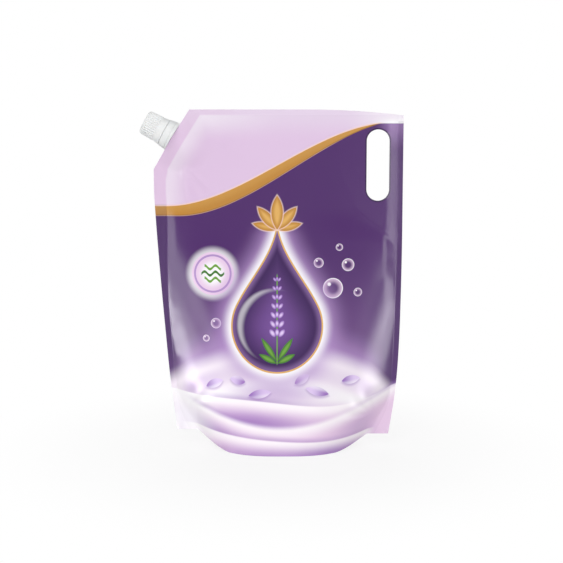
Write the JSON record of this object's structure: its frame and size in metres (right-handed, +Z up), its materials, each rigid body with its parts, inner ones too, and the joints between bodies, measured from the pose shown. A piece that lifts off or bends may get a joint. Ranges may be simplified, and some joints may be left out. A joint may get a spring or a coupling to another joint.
{
  "type": "spouted stand-up refill pouch",
  "caption": "Filled stand-up pouch for liquid hand soap, with a bottom gusset, a die-cut handle slot and a corner spout closed by a ribbed screw cap.",
  "frame": {"origin": "middle of the standing pack's box, on the shelf it stands on", "axes": "+Z up, -Y out of the front panel, +X towards the handle slot"},
  "size_m": [0.2404, 0.0888, 0.312],
  "materials": {
    "film": "glossy printed laminate film: lilac above, a gold stripe, deep purple body and a pale lower zone",
    "spout_plastic": "white moulded polyethylene, satin",
    "band_plastic": "white moulded polyethylene, satin",
    "cap_plastic": "white moulded polypropylene, satin, ribbed grip",
    "disc_foam": "white closed-cell foam, matte"
  },
  "bodies": {
    "pouch_body": {"pouch": "film", "spout": "spout_plastic", "tamper_band": "band_plastic"},
    "disc_body": {"seal_disc": "disc_foam"},
    "cap_body": {"cap": "cap_plastic"}
  },
  "joints": [
    {"name": "cap_lift", "type": "slide", "parent": "pouch_body", "child": "disc_body", "axis": [-0.8788, 0, 0.4772], "range_m": [0, 0.0241]},
    {"name": "cap_turn", "type": "hinge", "parent": "disc_body", "child": "cap_body", "pos_m": [-0.08997, 0, 0.28722], "axis": [-0.8788, 0, 0.4772], "range_deg": [0, 1440]}
  ],
  "couplings": [
    {"joint": "cap_lift", "follows": "cap_turn", "m_per_rad": 0.00095493}
  ]
}
